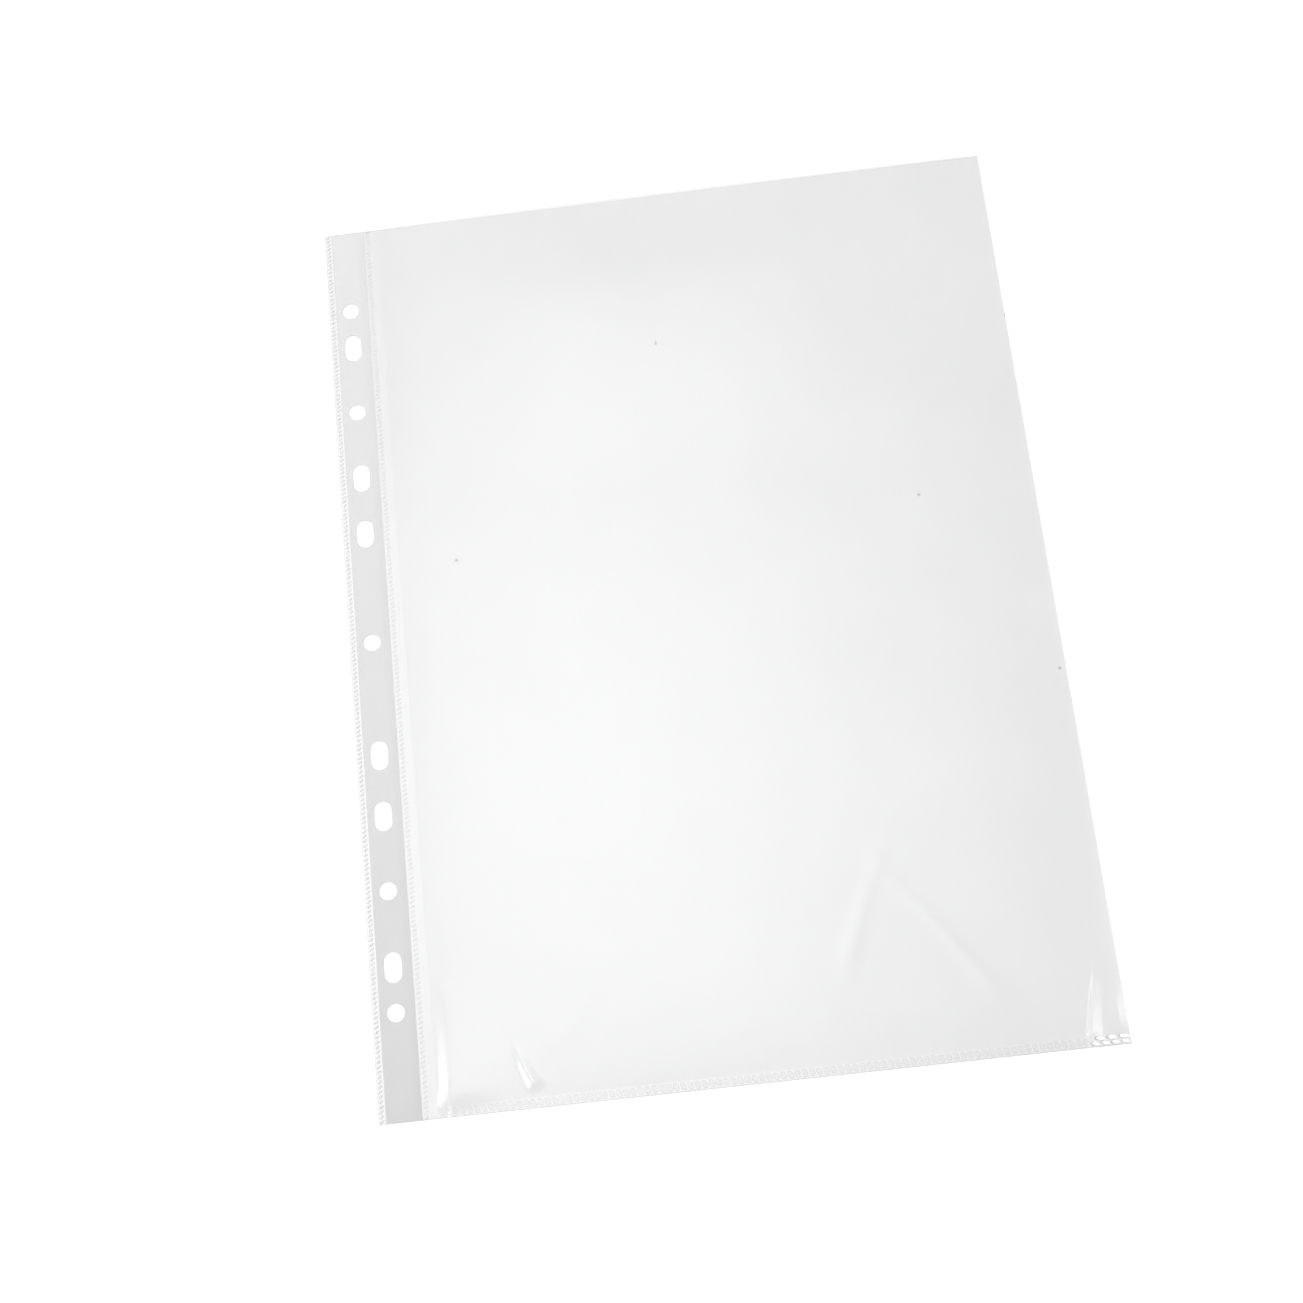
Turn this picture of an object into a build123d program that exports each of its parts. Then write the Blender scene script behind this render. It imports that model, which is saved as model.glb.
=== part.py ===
from build123d import *
import os

os.makedirs("parts", exist_ok=True)

# A punched pocket for A4 sheets, in millimetres. It lies on its back wall with the binding strip
# at -X and the open mouth at +Y, and its origin is under the middle of the sheet.

# The film web, folded once, and the tape laid inside its margin
sheet_width = 230.0
sheet_height = 303.0
film_thickness = 0.08
tape_thickness = 0.12

# Bands of the binding margin, counted from the cut left edge
outer_weld_band = 2.4
tape_width = 11.2
inner_weld_band = 2.8
crease_band = 2.0

# The pocket's closed edges, and the gap round the front wall where it lifts clear of them
bottom_weld_band = 3.4
fold_leg = 2.5
wall_gap = 0.1

# A weld is a rope of two crossing strands, pressed between the walls as a chain of lozenges
weld_pitch = 1.5
weld_neck = 0.5
weld_land = 0.3

# Ring holes: round ones and slots, in pairs above and below the middle of the pattern
hole_diameter = 5.7
slot_length = 9.6
hole_edge_distance = 7.5
pattern_rise = 1.5
round_hole_offsets = (0.0, 82.0, 120.0)
slot_offsets = (38.0, 58.0, 106.0)
end_land = 3.0

# Places that follow from the sizes
left, right = -sheet_width / 2, sheet_width / 2
bottom, top = -sheet_height / 2, sheet_height / 2
tape_left = left + outer_weld_band
tape_right = tape_left + tape_width
crease_left = tape_right + inner_weld_band
crease_right = crease_left + crease_band
fold_left = right - fold_leg
weld_top = bottom + bottom_weld_band
front_wall_z = film_thickness + tape_thickness
full_thickness = front_wall_z + film_thickness


def panel(x_low, x_high, y_low, y_high):
    centre = Pos((x_low + x_high) / 2, (y_low + y_high) / 2)
    return centre * Rectangle(x_high - x_low, y_high - y_low)


def layer(outline, z_low, thickness):
    return extrude(Pos(0, 0, z_low) * outline, thickness)


# A hole is punched where the strip leaves enough land beyond it
def fits_on_strip(y, hole_length):
    return bottom + end_land <= y - hole_length / 2 and y + hole_length / 2 <= top - end_land


def ring_holes():
    shapes = [
        (round_hole_offsets, hole_diameter, Circle(hole_diameter / 2)),
        (slot_offsets, slot_length, SlotOverall(slot_length, hole_diameter, rotation=90)),
    ]
    holes = []
    for offsets, length, shape in shapes:
        for y in sorted({pattern_rise + side * offset for offset in offsets for side in (-1, 1)}):
            if fits_on_strip(y, length):
                holes.append(Pos(left + hole_edge_distance, y) * shape)
    return holes


def punched(outline):
    return outline - ring_holes()


# The chain of lozenges starts at the origin and runs along +Y
def weld_rope(length, width):
    count = max(1, round(length / weld_pitch))
    step = length / count
    side = [(weld_neck / 2, 0)]
    for i in range(count):
        side.append((width / 2, (i + 0.5) * step))
        side.append((weld_neck / 2, (i + 1) * step))
    other_side = [(-x, y) for x, y in reversed(side)]
    return make_face(Polyline(*side, *other_side, close=True))


def edge_weld(band_left, band):
    rope = weld_rope(sheet_height, band - 2 * weld_land)
    return layer(Pos(band_left + band / 2, bottom) * rope, film_thickness, tape_thickness)


# The bottom weld carries the hem of the front wall, which is fused to it
def bottom_seam():
    rope = weld_rope(fold_left - crease_right, bottom_weld_band - 2 * weld_land)
    along_x = Pos(crease_right, bottom + bottom_weld_band / 2) * Rot(0, 0, -90) * rope
    hem = panel(crease_right, fold_left, bottom, weld_top)
    return layer(along_x, film_thickness, tape_thickness) + layer(hem, front_wall_z, film_thickness)


# The web turns through a half circle at the right edge, from the back wall to the front wall
def folded_edge():
    bend = full_thickness / 2
    straight = fold_leg - bend
    middle = Pos(fold_left + straight / 2, bend)
    centre = Pos(right - bend, bend)
    outside = middle * Rectangle(straight, full_thickness) + centre * Circle(bend)
    inside = middle * Rectangle(straight, tape_thickness) + centre * Circle(tape_thickness / 2)
    return extrude(Plane.XZ * (outside - inside), sheet_height / 2, both=True)


margin = punched(panel(left, crease_left, bottom, top))
tape = punched(panel(tape_left, tape_right, bottom, top))
crease = panel(crease_left, crease_right, bottom, top)
back_wall = panel(crease_right, fold_left, bottom, top)
front_wall = panel(crease_right + wall_gap, fold_left - wall_gap, weld_top + wall_gap, top)

nodes = {
    "binding_strip": layer(tape, film_thickness, tape_thickness),
    "back_margin_film": layer(margin, 0, film_thickness),
    "front_margin_film": layer(margin, front_wall_z, film_thickness),
    "outer_edge_weld": edge_weld(left, outer_weld_band),
    "inner_edge_weld": edge_weld(tape_right, inner_weld_band),
    "back_crease_film": layer(crease, 0, film_thickness),
    "front_crease_film": layer(crease, front_wall_z, film_thickness),
    "back_film": layer(back_wall, 0, film_thickness),
    "front_film": layer(front_wall, front_wall_z, film_thickness),
    "side_fold": folded_edge(),
    "bottom_weld": bottom_seam(),
}

for name, solid in nodes.items():
    export_step(solid, f"parts/{name}.step")
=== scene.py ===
import math

import bmesh
import bpy
from mathutils import Matrix, Vector, noise
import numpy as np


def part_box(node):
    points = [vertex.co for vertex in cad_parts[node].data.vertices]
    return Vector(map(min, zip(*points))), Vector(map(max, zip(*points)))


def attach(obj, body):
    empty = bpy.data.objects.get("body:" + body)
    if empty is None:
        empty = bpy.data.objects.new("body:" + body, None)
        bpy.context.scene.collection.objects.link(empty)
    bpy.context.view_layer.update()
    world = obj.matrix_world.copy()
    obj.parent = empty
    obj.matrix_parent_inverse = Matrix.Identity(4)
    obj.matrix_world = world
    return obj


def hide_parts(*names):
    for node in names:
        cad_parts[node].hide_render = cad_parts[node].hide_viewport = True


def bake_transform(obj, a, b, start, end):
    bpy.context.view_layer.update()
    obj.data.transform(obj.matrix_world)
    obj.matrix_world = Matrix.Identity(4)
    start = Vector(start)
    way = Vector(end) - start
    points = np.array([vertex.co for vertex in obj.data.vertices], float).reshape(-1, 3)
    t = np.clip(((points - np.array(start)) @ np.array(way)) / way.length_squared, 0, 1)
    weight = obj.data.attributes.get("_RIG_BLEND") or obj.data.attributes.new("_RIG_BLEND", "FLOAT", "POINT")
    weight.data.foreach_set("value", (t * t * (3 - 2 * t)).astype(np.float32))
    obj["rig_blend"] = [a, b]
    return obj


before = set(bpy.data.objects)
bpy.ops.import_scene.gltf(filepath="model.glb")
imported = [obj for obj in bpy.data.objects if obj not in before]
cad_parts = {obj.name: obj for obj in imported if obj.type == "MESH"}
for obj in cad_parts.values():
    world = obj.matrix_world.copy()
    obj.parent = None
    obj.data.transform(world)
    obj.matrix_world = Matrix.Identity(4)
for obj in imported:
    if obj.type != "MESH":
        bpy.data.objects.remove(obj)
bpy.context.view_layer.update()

mm = 0.001
scene = bpy.context.scene
scene.view_settings.view_transform = "Standard"
scene.cycles.transparent_max_bounces = 48  # the walls, the tape and the welds lie in many clear layers


# Where the solids are, in millimetres
def nodeBox(node):
    low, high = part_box(node)
    return low / mm, high / mm


backLow, backHigh = nodeBox("back_film")
frontLow, frontHigh = nodeBox("front_film")
marginLow, marginHigh = nodeBox("front_margin_film")
creaseLow, creaseHigh = nodeBox("back_crease_film")
tapeLow, tapeHigh = nodeBox("binding_strip")
foldLow, foldHigh = nodeBox("side_fold")
hemLow, hemHigh = nodeBox("bottom_weld")
print("frame read: sheet", [round(v, 2) for v in backLow], [round(v, 2) for v in foldHigh])

# Camera, at the viewing angle of the photograph
cameraPlace = {
    "lens": 47.35,
    "sensor": 36.0,
    "turn": Vector((-0.2628, -0.0437, 0.1114)),
    "shift": Vector((15.05, 13.77, -560.37)),
}


def makeCamera(p):
    data = bpy.data.cameras.new("viewCamera")
    data.lens, data.sensor_width = p["lens"], p["sensor"]
    data.clip_start, data.clip_end = 0.01, 50.0
    camera = bpy.data.objects.new("viewCamera", data)
    scene.collection.objects.link(camera)
    look = Matrix.Rotation(p["turn"].length, 4, p["turn"].normalized())
    camera.matrix_world = (Matrix.Translation(p["shift"] * mm) @ look).inverted()
    scene.camera = camera


makeCamera(cameraPlace)
print("camera placed")

# Studio: a white floor, a soft glow overhead and along the horizon,
# two lamps that gleam on the film and two that only fill
studio = {
    "floorSize": 4.0,
    "floorDrop": 240.0,  # the page hangs down when it turns back
    "floorWhite": 0.97,
    "floorLit": 0.10,
    "glowAt": (-0.08, 0.175),
    "glowReach": (0.27, 0.38),
    "glowEdge": (0.2, 1.1),
    "glowBright": 1.75,
    "glowDim": 0.05,
    "horizon": 0.8,
    "horizonBand": (0.3, 0.75),
    "lamps": [
        {"name": "leftGleam", "at": (-0.68, -0.22, 0.99), "size": (0.28, 0.6), "watts": 1.53, "gleams": True},
        {"name": "rightGleam", "at": (0.76, -0.22, 1.05), "size": (0.28, 0.6), "watts": 1.08, "gleams": True},
        {"name": "leftFill", "at": (-0.95, 0.35, 0.75), "size": (0.6, 0.8), "watts": 5.8, "gleams": False},
        {"name": "farFill", "at": (0.1, 1.25, 0.85), "size": (1.1, 0.6), "watts": 23.5, "gleams": False},
    ],
}


def newNode(tree, kind, **settings):
    node = tree.nodes.new(kind)
    for name, value in settings.items():
        setattr(node, name, value)
    return node


def mathNode(tree, operation, *values):
    node = newNode(tree, "ShaderNodeMath", operation=operation)
    for socket, value in zip(node.inputs, values):
        if isinstance(value, (int, float)):
            socket.default_value = value
        else:
            tree.links.new(value, socket)
    return node.outputs[0]


def rangeNode(tree, value, *ends):
    node = newNode(tree, "ShaderNodeMapRange", interpolation_type="SMOOTHSTEP")
    for socket, end in zip(node.inputs[1:5], ends):
        socket.default_value = end
    tree.links.new(value, node.inputs["Value"])
    return node.outputs["Result"]


def splitPlace(tree, coordinates):
    place = newNode(tree, "ShaderNodeTexCoord")
    split = newNode(tree, "ShaderNodeSeparateXYZ")
    tree.links.new(place.outputs[coordinates], split.inputs["Vector"])
    return split


def seenDirectly(tree):
    path = newNode(tree, "ShaderNodeLightPath")
    seen = mathNode(tree, "MAXIMUM", path.outputs["Is Camera Ray"], path.outputs["Is Glossy Ray"])
    return mathNode(tree, "MAXIMUM", seen, path.outputs["Is Transmission Ray"])


def makeFloor(p):
    bm = bmesh.new()
    bmesh.ops.create_grid(bm, x_segments=1, y_segments=1, size=p["floorSize"] / 2)
    bmesh.ops.translate(bm, verts=bm.verts, vec=(0, 0, -p["floorDrop"] * mm))
    mesh = bpy.data.meshes.new("floor")
    bm.to_mesh(mesh)
    bm.free()
    floor = bpy.data.objects.new("floor", mesh)
    scene.collection.objects.link(floor)
    mat = bpy.data.materials.new("whiteFloor")
    mat.use_nodes = True
    tree = mat.node_tree
    tree.nodes.clear()
    out = newNode(tree, "ShaderNodeOutputMaterial")
    lit = newNode(tree, "ShaderNodeBsdfDiffuse")
    lit.inputs["Color"].default_value = (p["floorLit"],) * 3 + (1,)
    glow = newNode(tree, "ShaderNodeEmission")
    tree.links.new(mathNode(tree, "MULTIPLY", seenDirectly(tree), p["floorWhite"]), glow.inputs["Strength"])
    both = newNode(tree, "ShaderNodeAddShader")
    tree.links.new(lit.outputs[0], both.inputs[0])
    tree.links.new(glow.outputs[0], both.inputs[1])
    tree.links.new(both.outputs[0], out.inputs["Surface"])
    mesh.materials.append(mat)


def makeWorld(p):
    world = bpy.data.worlds.new("studioGlow")
    scene.world = world
    world.use_nodes = True
    tree = world.node_tree
    tree.nodes.clear()
    out = newNode(tree, "ShaderNodeOutputWorld")
    place = newNode(tree, "ShaderNodeTexCoord")
    oval = newNode(tree, "ShaderNodeMapping")
    oval.inputs["Scale"].default_value = [1 / r for r in p["glowReach"]] + [0]
    oval.inputs["Location"].default_value = [-a / r for a, r in zip(p["glowAt"], p["glowReach"])] + [0]
    tree.links.new(place.outputs["Generated"], oval.inputs["Vector"])
    away = newNode(tree, "ShaderNodeVectorMath", operation="LENGTH")
    tree.links.new(oval.outputs["Vector"], away.inputs[0])
    spread = rangeNode(tree, away.outputs["Value"], *p["glowEdge"], p["glowBright"], p["glowDim"])
    height = splitPlace(tree, "Generated").outputs["Z"]
    low = rangeNode(tree, height, *p["horizonBand"], p["horizon"], 0.0)
    sky = newNode(tree, "ShaderNodeBackground")
    tree.links.new(mathNode(tree, "ADD", spread, low), sky.inputs["Strength"])
    white = newNode(tree, "ShaderNodeBackground")
    white.inputs["Color"].default_value = (1, 1, 1, 1)
    path = newNode(tree, "ShaderNodeLightPath")
    pick = newNode(tree, "ShaderNodeMixShader")
    tree.links.new(path.outputs["Is Camera Ray"], pick.inputs["Fac"])
    tree.links.new(sky.outputs[0], pick.inputs[1])
    tree.links.new(white.outputs[0], pick.inputs[2])
    tree.links.new(pick.outputs[0], out.inputs["Surface"])


def makeLamps(p):
    for lamp in p["lamps"]:
        data = bpy.data.lights.new(lamp["name"], "AREA")
        data.shape = "RECTANGLE"
        data.size, data.size_y = lamp["size"]
        data.energy = lamp["watts"]
        item = bpy.data.objects.new(lamp["name"], data)
        item.visible_glossy = lamp["gleams"]
        item.visible_diffuse = not lamp["gleams"]
        scene.collection.objects.link(item)
        place = Vector(lamp["at"])
        # the long side runs along the sheet
        back = place.normalized()
        along = (Vector((0, 1, 0)) - back * back.y).normalized()
        turn = Matrix((along.cross(back), along, back)).transposed().to_4x4()
        item.matrix_world = Matrix.Translation(place) @ turn


makeFloor(studio)
makeWorld(studio)
makeLamps(studio)
print("studio ready")

# Film grain: cloudy haze, streaks from the rolling of the film, and a few specks
grainLook = {
    "cloud": 22.0,
    "cloudDetail": 3.0,
    "streaks": (900.0, 14.0, 1.0),
    "streakDetail": 2.0,
    "cells": 26.0,
    "speckSize": (0.006, 0.02),
    "bareCells": 0.9,
}


def filmGrainGroup(p):
    group = bpy.data.node_groups.new("filmGrain", "ShaderNodeTree")
    face = group.interface
    face.new_socket("Vector", in_out="INPUT", socket_type="NodeSocketVector")
    face.new_socket("Haze", in_out="OUTPUT", socket_type="NodeSocketFloat")
    face.new_socket("Speck", in_out="OUTPUT", socket_type="NodeSocketFloat")
    face.new_socket("Streak", in_out="OUTPUT", socket_type="NodeSocketFloat")
    inside = newNode(group, "NodeGroupInput")
    outside = newNode(group, "NodeGroupOutput")
    cloud = newNode(group, "ShaderNodeTexNoise", noise_dimensions="2D")
    cloud.inputs["Scale"].default_value = p["cloud"]
    cloud.inputs["Detail"].default_value = p["cloudDetail"]
    group.links.new(inside.outputs["Vector"], cloud.inputs["Vector"])
    group.links.new(cloud.outputs["Fac"], outside.inputs["Haze"])
    stretch = newNode(group, "ShaderNodeMapping")
    stretch.inputs["Scale"].default_value = p["streaks"]
    group.links.new(inside.outputs["Vector"], stretch.inputs["Vector"])
    lines = newNode(group, "ShaderNodeTexNoise", noise_dimensions="2D")
    lines.inputs["Scale"].default_value = 1.0
    lines.inputs["Detail"].default_value = p["streakDetail"]
    group.links.new(stretch.outputs["Vector"], lines.inputs["Vector"])
    group.links.new(lines.outputs["Fac"], outside.inputs["Streak"])
    dots = newNode(group, "ShaderNodeTexVoronoi", voronoi_dimensions="2D")
    dots.inputs["Scale"].default_value = p["cells"]
    group.links.new(inside.outputs["Vector"], dots.inputs["Vector"])
    near = rangeNode(group, dots.outputs["Distance"], *p["speckSize"], 1.0, 0.0)
    chance = newNode(group, "ShaderNodeSeparateColor")
    group.links.new(dots.outputs["Color"], chance.inputs["Color"])
    few = mathNode(group, "GREATER_THAN", chance.outputs["Red"], p["bareCells"])
    group.links.new(mathNode(group, "MULTIPLY", near, few), outside.inputs["Speck"])
    return group


filmGrain = filmGrainGroup(grainLook)

# the edge colour and the edge veil are painted shade along the film's cut edges and round the pads' rims
filmFinish = {"white": (0.74, 0.745, 0.75), "edge": (0.30, 0.30, 0.31), "metal": 0.8, "veil": 0.083,
              "rough": 0.245, "paintedEdgeShade": 0.22, "fused": 0.62}
weldFinish = {"white": (0.90, 0.90, 0.91), "edge": (0.52, 0.52, 0.53), "metal": 0.4, "veil": 0.14,
              "rough": 0.25, "paintedEdgeShade": 0.12, "fused": 1.0}
seamFinish = {"white": (0.80, 0.80, 0.81), "edge": (0.35, 0.35, 0.36), "metal": 0.5, "veil": 0.03,
              "rough": 0.25, "paintedEdgeShade": 0.12, "fused": 1.0}
pinchFinish = {"white": (0.98, 0.98, 0.98), "edge": (0.32, 0.32, 0.33), "metal": 0.8, "veil": 0.52,
               "rough": 0.20, "paintedEdgeShade": 0.25, "fused": 1.0}
# what every clear finish shares: how fast the veil thickens at a glancing angle, and how much the grain shows
filmVeil = {"glance": 5.0, "glanceVeil": 0.85, "haze": 0.02, "speck": 0.07, "streak": 0.01, "fusedSoft": 0.3}
# side is the colour of the tape's darker bands: along the long sides, beside the pocket, and the painted shade at
# the cut ends
tapeFinish = {"pale": (0.85, 0.847, 0.849), "dark": (0.795, 0.792, 0.794), "side": (0.76, 0.755, 0.76),
              "rough": 0.42, "cover": 0.95, "sideBand": 0.35, "innerBand": 2.3, "innerSoft": 0.2, "pressed": 0.4,
              "grain": 0.5, "roughGrain": 0.12, "bump": 0.06, "bumpDeep": 0.0002}


def principled(name):
    mat = bpy.data.materials.new(name)
    mat.use_nodes = True
    return mat, mat.node_tree, mat.node_tree.nodes["Principled BSDF"]


def grainOn(tree):
    place = newNode(tree, "ShaderNodeTexCoord")
    grain = newNode(tree, "ShaderNodeGroup", node_tree=filmGrain)
    tree.links.new(place.outputs["Object"], grain.inputs["Vector"])
    return grain


# Roughness that the streaks vary evenly about its value
def streakRough(tree, grain, skin, rough, share):
    tree.links.new(mathNode(tree, "MULTIPLY_ADD", grain.outputs["Streak"], share, rough - share / 2),
                   skin.inputs["Roughness"])


# Clear film: a thin veil that thickens at a glancing angle, and a painted dark line of shade along the cut edges
def clearFilm(name, p):
    mat, tree, skin = principled(name)
    skin.inputs["Metallic"].default_value = p["metal"]
    grain = grainOn(tree)
    facing = newNode(tree, "ShaderNodeLayerWeight")
    facing.inputs["Blend"].default_value = 0.5
    glance = mathNode(tree, "POWER", facing.outputs["Facing"], filmVeil["glance"])
    edge = newNode(tree, "ShaderNodeAttribute", attribute_name="paintedEdgeShade")
    veil = mathNode(tree, "MULTIPLY_ADD", glance, filmVeil["glanceVeil"], p["veil"])
    haze = mathNode(tree, "MULTIPLY", grain.outputs["Haze"], filmVeil["haze"])
    edgeShadeVeil = mathNode(tree, "MULTIPLY", edge.outputs["Fac"], p["paintedEdgeShade"])
    speck = mathNode(tree, "MULTIPLY", grain.outputs["Speck"], filmVeil["speck"])
    total = mathNode(tree, "ADD", mathNode(tree, "ADD", veil, haze), mathNode(tree, "ADD", edgeShadeVeil, speck))
    total.node.use_clamp = True
    # the walls are one clearer film where they are fused outside the tape
    fusedX = splitPlace(tree, "Object").outputs["X"]
    fused = rangeNode(tree, fusedX, (tapeLow.x - filmVeil["fusedSoft"]) * mm, tapeLow.x * mm, p["fused"], 1.0)
    tree.links.new(mathNode(tree, "MULTIPLY", total, fused), skin.inputs["Alpha"])
    # the colour darkens to the edge colour in the painted shade along cut edges and at the specks of dust
    tint = newNode(tree, "ShaderNodeMix", data_type="RGBA")
    tint.inputs["A"].default_value = p["white"] + (1,)
    tint.inputs["B"].default_value = p["edge"] + (1,)
    tree.links.new(mathNode(tree, "MAXIMUM", edge.outputs["Fac"], grain.outputs["Speck"]), tint.inputs["Factor"])
    tree.links.new(tint.outputs["Result"], skin.inputs["Base Color"])
    streakRough(tree, grain, skin, p["rough"], filmVeil["streak"])
    return mat


def satinTape(name, p):
    mat, tree, skin = principled(name)
    skin.inputs["Alpha"].default_value = p["cover"]
    grain = grainOn(tree)
    tint = newNode(tree, "ShaderNodeMix", data_type="RGBA")
    tint.inputs["A"].default_value = p["dark"] + (1,)
    tint.inputs["B"].default_value = p["pale"] + (1,)
    haze = mathNode(tree, "MULTIPLY", grain.outputs["Haze"], p["grain"])
    shade = mathNode(tree, "MULTIPLY_ADD", grain.outputs["Streak"], p["grain"], haze)
    tree.links.new(shade, tint.inputs["Factor"])
    # the tape is darker in a narrow band along its long sides, and at its cut ends with painted shade
    split = splitPlace(tree, "Object")
    bands = []
    for axis, low, high in (("X", tapeLow.x, tapeHigh.x), ("Y", tapeLow.y, tapeHigh.y)):
        half = (high - low) / 2
        fromMiddle = mathNode(tree, "SUBTRACT", split.outputs[axis], (low + high) / 2 * mm)
        out = mathNode(tree, "ABSOLUTE", fromMiddle)
        bands.append(rangeNode(tree, out, (half - p["sideBand"]) * mm, half * mm, 0, 1))
    # the tape is darker in a band along the side next to the pocket
    start, soft = tapeHigh.x - p["innerBand"], p["innerSoft"]
    pressed = rangeNode(tree, split.outputs["X"], (start - soft) * mm, (start + soft) * mm, 0, p["pressed"])
    sideDarkening = newNode(tree, "ShaderNodeMix", data_type="RGBA")
    sideDarkening.inputs["B"].default_value = p["side"] + (1,)
    darker = mathNode(tree, "MAXIMUM", mathNode(tree, "MAXIMUM", *bands), pressed)
    tree.links.new(darker, sideDarkening.inputs["Factor"])
    tree.links.new(tint.outputs["Result"], sideDarkening.inputs["A"])
    tree.links.new(sideDarkening.outputs["Result"], skin.inputs["Base Color"])
    streakRough(tree, grain, skin, p["rough"], p["roughGrain"])
    bump = newNode(tree, "ShaderNodeBump")
    bump.inputs["Strength"].default_value = p["bump"]
    bump.inputs["Distance"].default_value = p["bumpDeep"]
    tree.links.new(grain.outputs["Streak"], bump.inputs["Height"])
    tree.links.new(bump.outputs["Normal"], skin.inputs["Normal"])
    return mat


filmMat = clearFilm("clearFilm", filmFinish)
weldMat = clearFilm("fusedFilm", weldFinish)
seamMat = clearFilm("seamFilm", seamFinish)
pinchMat = clearFilm("pinchedFilm", pinchFinish)
tapeMat = satinTape("satinTape", tapeFinish)
print("finishes ready")

# How the film is laid out: mesh steps, finer where it is folded, and the bands along its cut edges
filmThick = backHigh.z - backLow.z
airGap = 0.012  # keeps the film's faces off the tape's
creaseSteps = 14
wallStep = 2.0
fineX = [(-97.0, -62.0, 0.7), (99.0, 112.5, 0.4)]  # from, to, step
fineY = [(-149.0, -90.0, 0.7)]
edgeBand = 0.35
# how strong the painted edge shade is at the bottom edge and at the other cut edges
edgeShadeMark = {"bottom": 0.5, "others": 0.35}


# Evenly spaced places from low to high, with a narrow first or last step where an edge is cut
def stops(low, high, step, cutLow=0.0, cutHigh=0.0):
    start, end = low + cutLow, high - cutHigh
    count = max(1, round((end - start) / step))
    places = [start + (end - start) * i / count for i in range(count + 1)]
    return ([low] if cutLow else []) + places + ([high] if cutHigh else [])


# Places along a wall, close together where folds need them and wider apart elsewhere
def wallStops(low, high, spans, cutLow=0.0, cutHigh=0.0):
    marks = sorted({low, high, *(min(high, max(low, m)) for span in spans for m in span[:2])})
    places = []
    for a, b in zip(marks, marks[1:]):
        step = min([span[2] for span in spans if span[0] <= a and b <= span[1]], default=wallStep)
        part = stops(a, b, step, cutLow if a == low else 0.0, cutHigh if b == high else 0.0)
        places += part if not places else part[1:]
    return places


def creaseStops():
    return stops(creaseLow.x, creaseHigh.x, (creaseHigh.x - creaseLow.x) / creaseSteps)


def filmGrid(bm, xStops, yStops):
    spanX, spanY = len(xStops) - 1, len(yStops) - 1
    made = bmesh.ops.create_grid(bm, x_segments=spanX, y_segments=spanY, size=0.5)["verts"]
    for v in made:
        v.co.x = xStops[round((v.co.x + 0.5) * spanX)]
        v.co.y = yStops[round((v.co.y + 0.5) * spanY)]
    return made


def smooth(t):
    t = min(1.0, max(0.0, t))
    return t * t * (3 - 2 * t)


def newFilm():
    bm = bmesh.new()
    bm.verts.layers.float.new("paintedEdgeShade")
    return bm


# Marks the cut edges with painted shade, gives the film its thickness below the surface and makes the piece
def filmPiece(bm, name, mat, thick, *joinedX):
    layer = bm.verts.layers.float["paintedEdgeShade"]
    for v in bm.verts:
        if v.is_boundary and min(abs(v.co.x - x) for x in joinedX) > 0.001 and v.co.y != hemHigh.y:
            v[layer] = edgeShadeMark["bottom" if v.co.y < hemLow.y + 0.01 else "others"]
    bmesh.ops.recalc_face_normals(bm, faces=bm.faces)
    if sum(f.normal.z for f in bm.faces) < 0:
        bmesh.ops.reverse_faces(bm, faces=bm.faces)
    bmesh.ops.solidify(bm, geom=bm.faces[:] + bm.edges[:] + bm.verts[:], thickness=thick)
    return finishPiece(bm, name, mat)


def finishPiece(bm, name, mat, sharp=40.0):
    bmesh.ops.scale(bm, verts=bm.verts, vec=(mm, mm, mm))
    bmesh.ops.recalc_face_normals(bm, faces=bm.faces)
    for f in bm.faces:
        f.smooth = True
    for e in bm.edges:
        if len(e.link_faces) == 2 and e.calc_face_angle(0) > math.radians(sharp):
            e.smooth = False
    mesh = bpy.data.meshes.new(name)
    bm.to_mesh(mesh)
    bm.free()
    mesh.materials.append(mat)
    piece = bpy.data.objects.new(name, mesh)
    piece.visible_shadow = False  # clear film lets the lamps through
    scene.collection.objects.link(piece)
    return piece


# Ring holes: round ones and slots in pairs about the middle of the pattern
ringHoles = {
    "x": -107.5,
    "middle": 1.5,
    "width": 5.7,
    "slot": 9.6,
    "rounds": (0.0, 82.0, -82.0, 120.0, -120.0),
    "slots": (38.0, -38.0, 58.0, -58.0, 106.0, -106.0),
    "sides": 32,
}


def punchHoles(bm, p, z):
    rims = []
    for offsets, length in ((p["rounds"], p["width"]), (p["slots"], p["slot"])):
        for offset in offsets:
            rim = bmesh.ops.create_circle(bm, segments=p["sides"], radius=p["width"] / 2)["verts"]
            half = (length - p["width"]) / 2
            for v in rim:
                v.co.y += math.copysign(half, v.co.y) if abs(v.co.y) > 1e-6 else 0.0
            bmesh.ops.translate(bm, verts=rim, vec=(p["x"], p["middle"] + offset, z))
            rims += rim
    return rims


# The film of the walls: soft waves that die out where the film is held, and a few pinched folds
waveBack = {"long": 0.010, "high": 0.12, "bias": 0.5, "pinned": 14.0, "seed": 3.1, "pinchShare": 0.9}
waveFront = {"long": 0.012, "slow": 0.8, "high": 0.24, "bias": 0.6, "held": 10.0, "seed": 8.4, "gap": 0.42}
# the film buckles up a little short of the mouth, between its two corners
mouthRise = {"back": 1.0, "front": 0.6, "at": 116.0, "long": 70.0, "past": 6.0, "left": 0.25,
             "lift": 0.1, "liftFrom": 60.0, "liftLong": 90.0}
# the folded edge stands up a little, and more where it is pinched near the bottom corner
edgeLift = {"even": 0.16, "pinch": 0.22, "pinchAt": -141.0, "pinchLong": 5.0, "reach": 5.0, "hemSoft": 2.0}
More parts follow.
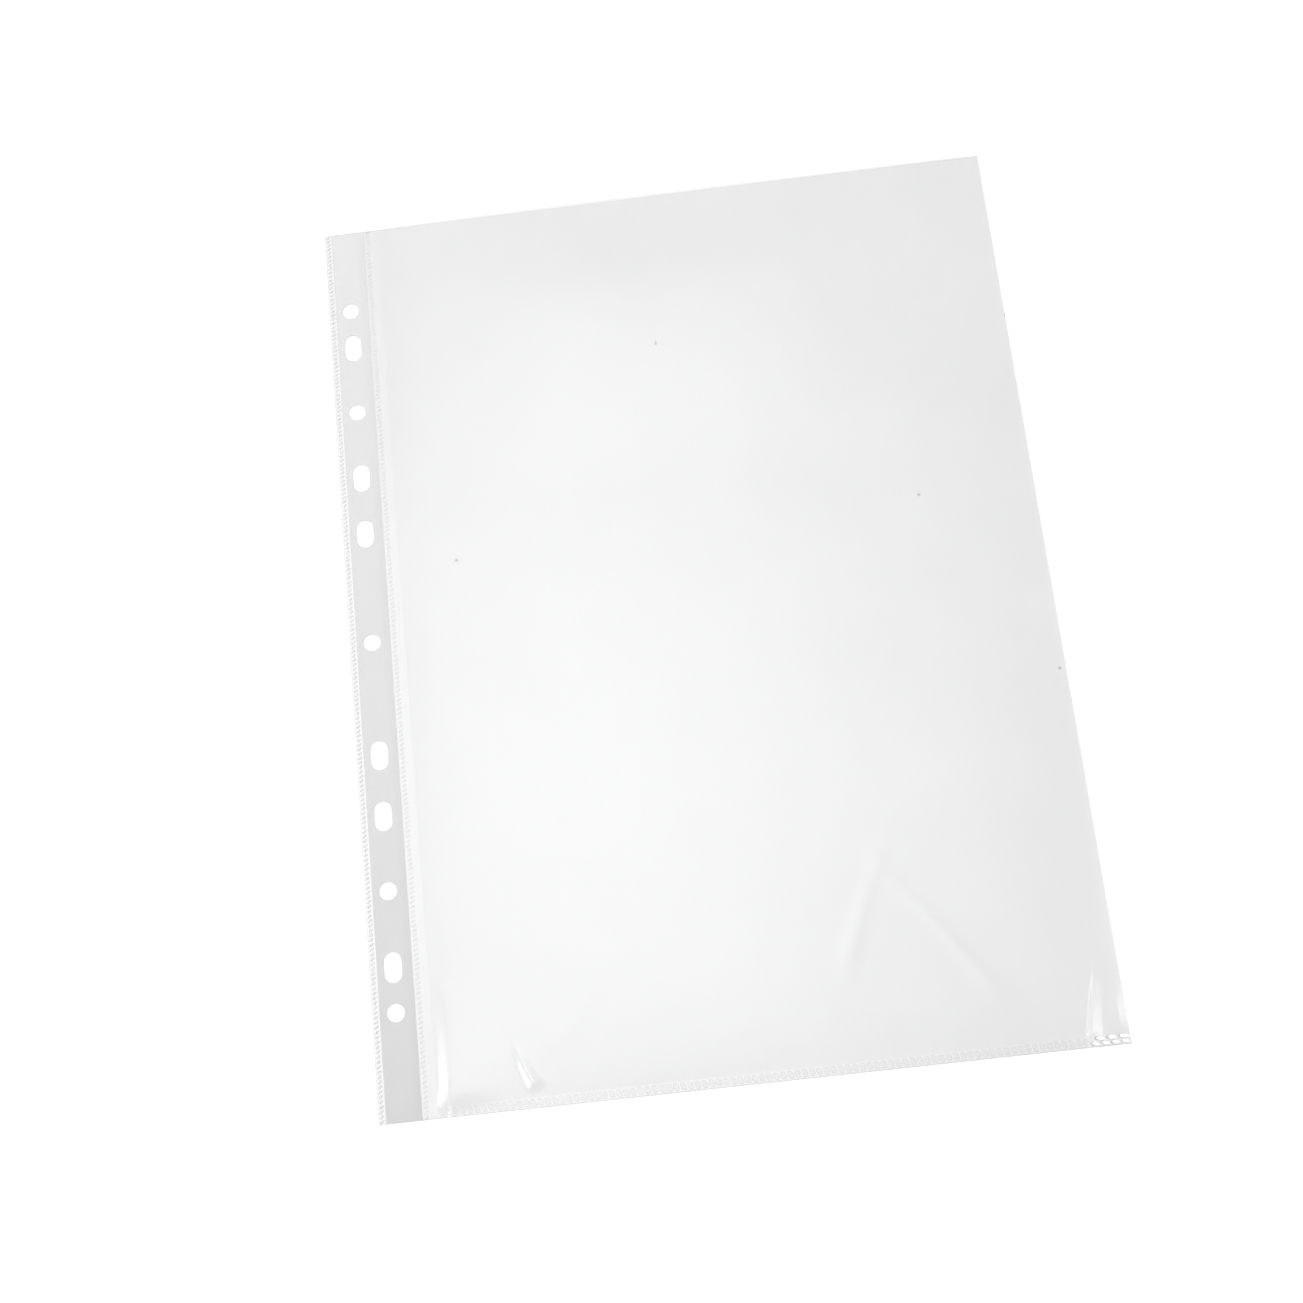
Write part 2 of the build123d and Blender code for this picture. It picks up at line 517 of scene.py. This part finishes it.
# folds pinched into both walls by handling: plus and minus are the widths of their right and left flanks
pinches = [
    {"from": (-92.3, -103.0), "to": (-92.6, -150.8), "bow": 0.8, "plus": 20.0, "minus": 4.4, "high": 0.62,
     "narrow": 0.9, "first": 0.0, "close": 0.86, "hook": -1.5},
    {"from": (-71.5, -130.0), "to": (-65.2, -146.5), "bow": -0.9, "plus": 4.0, "minus": 3.0, "high": 0.76,
     "narrow": 0.45, "first": 0.3, "close": 0.85, "hook": 0.0},
    {"from": (107.7, -126.0), "to": (102.3, -150.0), "bow": 0.0, "plus": 5.0, "minus": 0.8, "high": 0.72,
     "narrow": 0.45, "first": 0.3, "close": 0.85, "hook": 0.0},
    {"from": (-91.6, -144.5), "to": (-92.6, -154.5), "bow": 0.0, "plus": 1.6, "minus": 2.0, "high": 0.46,
     "narrow": 0.45, "first": 0.3, "close": 0.85, "hook": 0.0},
    {"from": (102.5, -145.0), "to": (103.2, -155.0), "bow": 0.0, "plus": 2.2, "minus": 1.4, "high": 0.42,
     "narrow": 0.45, "first": 0.3, "close": 0.85, "hook": 0.0},
]
# soft creases in the front wall alone
creases = [
    {"from": (36.0, -78.0), "to": (82.0, -140.0), "bow": 2.0, "plus": 4.0, "minus": 4.0, "high": 0.36,
     "narrow": 0.45, "first": 0.3, "close": 0.8, "hook": 0.0},
    {"from": (62.0, -60.0), "to": (30.0, -128.0), "bow": -2.0, "plus": 4.5, "minus": 4.5, "high": 0.28,
     "narrow": 0.45, "first": 0.3, "close": 0.8, "hook": 0.0},
    {"from": (-30.0, -96.0), "to": (-62.0, -138.0), "bow": 1.0, "plus": 4.5, "minus": 4.5, "high": 0.26,
     "narrow": 0.45, "first": 0.3, "close": 0.8, "hook": 0.0},
]
foldForm = {"soft": 0.15, "opens": 3.0, "hookFrom": 0.82}  # shared by all folds, along and across their length


# Falls from 1 at a fold's ridge to 0 at its foot, with an even slope between rounded ends
def flank(u):
    soft = foldForm["soft"]
    steep = 1 / (1 - soft)
    if u < soft:
        return 1 - steep * u * u / (2 * soft)
    if u < 1 - soft:
        return 1 - steep * (u - soft / 2)
    return steep * (1 - u) ** 2 / (2 * soft)


def foldHeight(x, y, folds):
    total = 0.0
    for f in folds:
        start, way = Vector(f["from"]), Vector(f["to"]) - Vector(f["from"])
        reach = Vector((x, y)) - start
        t = reach.dot(way) / way.length_squared
        if 0.0 < t < 1.0:
            off = (reach.y * way.x - reach.x * way.y) / way.length - f["bow"] * 4 * t * (1 - t)
            off -= f["hook"] * smooth((t - foldForm["hookFrom"]) / (1 - foldForm["hookFrom"]))
            taper = f["narrow"] + (1 - f["narrow"]) * t
            u = abs(off) / (f["plus" if off > 0 else "minus"] * taper)
            if u < 1.0:
                ends = smooth(t * foldForm["opens"]) * (1 - smooth((t - f["close"]) / (1 - f["close"])))
                total += f["high"] * taper * (f["first"] + (1 - f["first"]) * t) * ends * flank(u)
    return total * smooth(x - creaseHigh.x)


# How far the film has risen at a distance from the edge that holds it
def risen(distance, reach):
    return 1 - math.exp(-max(0.0, distance) / reach)


def mouthHump(x, y):
    p = mouthRise
    across = min(1.0, max(0.0, (x - backLow.x) / (foldLow.x - backLow.x)))
    fall = (1 - p["left"]) * smooth((y - p["at"]) / (backHigh.y + p["past"] - p["at"]))
    return math.sin(math.pi * across) * smooth((y - p["at"] + p["long"]) / p["long"]) * (1 - fall)


def edgeRise(y):
    p = edgeLift
    rise = p["even"] + p["pinch"] * math.exp(-((y - p["pinchAt"]) / p["pinchLong"]) ** 2)
    return rise * smooth((y - hemHigh.y) / p["hemSoft"])


def backHeight(x, y):
    w = waveBack
    held = smooth((x - backLow.x) / w["pinned"]) * smooth((backHigh.x - x) / w["pinned"])
    held *= smooth((y - hemHigh.y) / w["pinned"])
    wave = noise.noise(Vector((x * w["long"], y * w["long"], w["seed"]))) + w["bias"]
    pinched = w["pinchShare"] * foldHeight(x, y, pinches)
    return w["high"] * max(0.0, wave) * held + mouthRise["back"] * mouthHump(x, y) + pinched


def frontHeight(x, y):
    w, m = waveFront, mouthRise
    side = risen(x - creaseHigh.x, w["held"]) * risen(foldLow.x - x, w["held"])
    held = side * risen(y - hemHigh.y, w["held"])
    wave = noise.noise(Vector((x * w["long"], y * w["long"] * w["slow"], w["seed"]))) + w["bias"]
    lift = m["lift"] * side * smooth((y - m["liftFrom"]) / m["liftLong"])
    edge = edgeRise(y) * (1 - risen(foldLow.x - x, edgeLift["reach"]))
    hump = (m["back"] + m["front"]) * mouthHump(x, y)
    folded = foldHeight(x, y, pinches + creases)
    return (w["gap"] + w["high"] * max(0.0, wave)) * held + lift + edge + folded + hump


# The back web: punched margin, crease and back wall in one film
def makeBackWeb():
    bm = newFilm()
    xs = creaseStops() + wallStops(backLow.x, foldLow.x, fineX)[1:]
    ys = wallStops(backLow.y, backHigh.y, fineY, edgeBand, edgeBand)
    top = filmThick - airGap
    wall = filmGrid(bm, xs, ys)
    for v in wall:
        v.co.z = top + backHeight(v.co.x, v.co.y)
    fillMargin(bm, sorted((v for v in wall if v.co.x == xs[0]), key=lambda v: v.co.y), top)
    web = filmPiece(bm, "backWeb", filmMat, filmThick - airGap, foldLow.x)
    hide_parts("back_margin_film", "back_crease_film", "back_film")
    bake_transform(web, "binding", "pocket", start=(creaseLow.x * mm, 0, 0), end=(creaseHigh.x * mm, 0, 0))
    return web


# Fills the punched margin from its outer edge to a seam of the wall's vertices,
# with a narrow band round each cut
def fillMargin(bm, seam, z):
    left = [bm.verts.new((marginLow.x, v.co.y, z)) for v in seam]
    ring = left + seam[::-1]
    rims = punchHoles(bm, ringHoles, z)
    around = [bm.edges.get((a, b)) or bm.edges.new((a, b)) for a, b in zip(ring, ring[1:] + ring[:1])]
    rimEdges = list({e for v in rims for e in v.link_edges})
    filled = bmesh.ops.triangle_fill(bm, use_beauty=True, edges=around + rimEdges)["geom"]
    faces = [g for g in filled if isinstance(g, bmesh.types.BMFace)]
    bmesh.ops.inset_region(bm, faces=faces, thickness=edgeBand, use_boundary=True, use_even_offset=True)


# The front margin: punched film over the tape, and the crease beside it
def makeFrontMargin():
    bm = newFilm()
    xs = creaseStops()
    ys = stops(backLow.y, backHigh.y, wallStep, edgeBand, edgeBand)
    z = frontHigh.z + airGap
    band = filmGrid(bm, xs, ys)
    for v in band:
        v.co.z = z
    fillMargin(bm, sorted((v for v in band if v.co.x == xs[0]), key=lambda v: v.co.y), z)
    margin = filmPiece(bm, "frontMargin", filmMat, filmThick, creaseHigh.x)
    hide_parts("front_margin_film", "front_crease_film")
    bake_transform(margin, "binding", "pocket", start=(creaseLow.x * mm, 0, 0), end=(creaseHigh.x * mm, 0, 0))


# The front wall, in two halves that stay joined at the crease and the fold as the mouth opens
def makeFrontWall(name, xLow, xHigh, heldX, freeX):
    bm = newFilm()
    xs = wallStops(xLow, xHigh, fineX)
    ys = wallStops(hemHigh.y, frontHigh.y, fineY, 0.0, edgeBand)
    z = frontHigh.z + airGap
    for v in filmGrid(bm, xs, ys):
        v.co.z = z + frontHeight(v.co.x, v.co.y)
    half = filmPiece(bm, name, filmMat, filmThick, xLow, xHigh)
    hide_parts("front_film")
    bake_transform(half, "pocket", "front", start=(heldX * mm, 0, 0), end=(freeX * mm, 0, 0))
    return half


midX = (frontLow.x + frontHigh.x) / 2
backWeb = makeBackWeb()
makeFrontMargin()
frontLeft = makeFrontWall("frontWallLeft", creaseHigh.x, midX, creaseHigh.x, midX)
frontRight = makeFrontWall("frontWallRight", midX, foldLow.x, foldLow.x, midX)
print("film walls made")

# The folded edge: the web turns through a round bend and meets the front wall
foldBend = {"steps": 10, "legSteps": 4, "thin": 0.9}


def makeFoldedEdge(p):
    bm = newFilm()
    low, high = filmThick - airGap, frontHigh.z + airGap
    radius = (high - low) / 2
    turnX = foldHigh.x - radius
    legX = foldLow.x - turnX
    bmesh.ops.spin(bm, geom=[bm.verts.new((turnX, 0, low))], cent=(turnX, 0, low + radius),
                   axis=(0, -1, 0), angle=math.pi, steps=p["steps"])
    path = sorted(bm.verts, key=lambda v: v.co.z)
    bm.edges.new((bm.verts.new((foldLow.x, 0, low)), path[0]))
    last = path[-1]
    for step in range(p["legSteps"]):
        nextOne = bm.verts.new((turnX + legX * (step + 1) / p["legSteps"], 0, high))
        bm.edges.new((last, nextOne))
        last = nextOne
    ys = wallStops(backLow.y, backHigh.y, fineY, edgeBand, edgeBand)
    bmesh.ops.translate(bm, verts=bm.verts, vec=(0, ys[0], 0))
    row = bm.edges[:]
    for a, b in zip(ys, ys[1:]):
        made = bmesh.ops.extrude_edge_only(bm, edges=row)["geom"]
        bmesh.ops.translate(bm, verts=[g for g in made if isinstance(g, bmesh.types.BMVert)], vec=(0, b - a, 0))
        sides = [g for g in made if isinstance(g, bmesh.types.BMEdge)]
        row = [e for e in sides if abs(e.verts[0].co.y - e.verts[1].co.y) < 1e-6]
    for v in bm.verts:
        if v.co.z > high - 0.001:
            v.co.z += edgeRise(v.co.y) * (v.co.x - turnX) / legX
    edge = filmPiece(bm, "foldedEdge", filmMat, filmThick * p["thin"], foldLow.x)
    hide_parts("side_fold")
    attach(edge, "pocket")
    return edge


foldedEdge = makeFoldedEdge(foldBend)
print("fold made")

# Welds: ropes of slanted lens-shaped pads, pressed up as low domes
edgePads = {"pitch": 1.5, "wide": 1.5, "long": 0.74, "slant": 0.45, "high": 0.14, "rim": 0.14, "lean": 0.0}
bottomPads = {"pitch": 2.2, "wide": 2.4, "long": 0.86, "slant": 0.3, "high": 0.08, "rim": 0.14, "lean": 0.0}
cornerPads = {"pitch": 3.1, "wide": 1.5, "long": 0.94, "slant": 0.30, "high": 0.02, "rim": 0.06, "lean": 0.15}
padForm = {"sides": 14, "step": 0.03, "sunk": 0.02, "leanAcross": 0.6,
           "domeInsets": (0.12, 0.08), "domeRises": (0.55, 0.35, 0.10)}


# A rope of pads from start to end, along x or y
def makePadRope(name, p, mat, start, end, body, node):
    count = round((end - start).length / p["pitch"])
    step = (end - start).length / count
    long = step * p["long"]
    bm = newFilm()
    rim = bmesh.ops.create_circle(bm, cap_ends=True, segments=padForm["sides"], radius=0.5)["verts"]
    for v in rim:
        v.co = Vector((v.co.x * p["wide"], v.co.y * long + v.co.x * p["slant"] * step, 0))
    made = bmesh.ops.extrude_face_region(bm, geom=bm.faces[:])["geom"]
    top = [g for g in made if isinstance(g, bmesh.types.BMFace)]
    bmesh.ops.translate(bm, verts=list({v for f in top for v in f.verts}), vec=(0, 0, padForm["step"]))
    across = min(p["wide"], long)
    for share, rise in zip((p["rim"], *padForm["domeInsets"]), padForm["domeRises"]):
        bmesh.ops.inset_region(bm, faces=top, thickness=across * share, use_even_offset=True)
        bmesh.ops.translate(bm, verts=list({v for f in top for v in f.verts}), vec=(0, 0, p["high"] * rise))
    # the outer ring of the pad's top gets painted shade, as the cut edges do
    layer = bm.verts.layers.float["paintedEdgeShade"]
    for v in bm.verts:
        if v.co.z > padForm["step"] - 0.01:
            v[layer] = 1.0 if v.co.z < padForm["step"] + 0.001 else 0.0
            v.co.z += p["lean"] * (long / 2 - v.co.y - padForm["leanAcross"] * v.co.x)
    way = (end - start).normalized()
    if abs(way.x) > 0.5:
        bmesh.ops.rotate(bm, matrix=Matrix.Rotation(math.radians(-90), 3, "Z"), verts=bm.verts)
    bmesh.ops.translate(bm, verts=bm.verts, vec=start + way * step / 2)
    rope = finishPiece(bm, name, mat)
    array = rope.modifiers.new("pads", "ARRAY")
    array.count = count
    array.use_relative_offset = False
    array.use_constant_offset = True
    array.constant_offset_displace = way * step * mm
    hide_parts(node)
    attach(rope, body)


weldZ = frontHigh.z + airGap - padForm["sunk"]
outerX = (marginLow.x + tapeLow.x) / 2
innerX = (tapeHigh.x + marginHigh.x) / 2
for name, mat, x, node in (("outerWeld", weldMat, outerX, "outer_edge_weld"),
                           ("innerWeld", seamMat, innerX, "inner_edge_weld")):
    makePadRope(name, edgePads, mat, Vector((x, backLow.y, weldZ)), Vector((x, backHigh.y, weldZ)), "binding", node)

# along the bottom the pads are fine up to the pinched corner, where two coarse rows lie side by side
cornerRows = {"from": 102.6, "apart": 1.5, "slide": 1.5, "short": 0.2}
bottomY = (hemLow.y + hemHigh.y) / 2
upperY, lowerY = bottomY + cornerRows["apart"] / 2, bottomY - cornerRows["apart"] / 2
cornerX, lastX = cornerRows["from"], foldHigh.x - cornerRows["short"]
for name, pads, mat, y, fromX, toX in (
    ("bottomWeld", bottomPads, seamMat, bottomY, hemLow.x, cornerX),
    ("cornerWeldUpper", cornerPads, pinchMat, upperY, cornerX + cornerRows["slide"], lastX),
    ("cornerWeldLower", cornerPads, pinchMat, lowerY, cornerX, lastX),
):
    makePadRope(name, pads, mat, Vector((fromX, y, weldZ)), Vector((toX, y, weldZ)), "pocket", "bottom_weld")

# The hem of front film that the bottom weld fuses
hemSteps = {"x": 0.6, "y": 0.5}


def makeHem(p):
    bm = newFilm()
    xs = stops(hemLow.x, foldLow.x, p["x"])
    ys = stops(hemLow.y, hemHigh.y, p["y"], edgeBand)
    for v in filmGrid(bm, xs, ys):
        v.co.z = frontHigh.z + airGap + foldHeight(v.co.x, v.co.y, pinches)
    piece = filmPiece(bm, "bottomHem", filmMat, filmThick, hemLow.x, foldLow.x)
    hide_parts("bottom_weld")
    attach(piece, "pocket")
    return piece


bottomHem = makeHem(hemSteps)
print("welds made")
# The tape keeps its solid
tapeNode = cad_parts["binding_strip"]
tapeNode.data.materials.clear()
tapeNode.data.materials.append(tapeMat)
print("tape dressed")
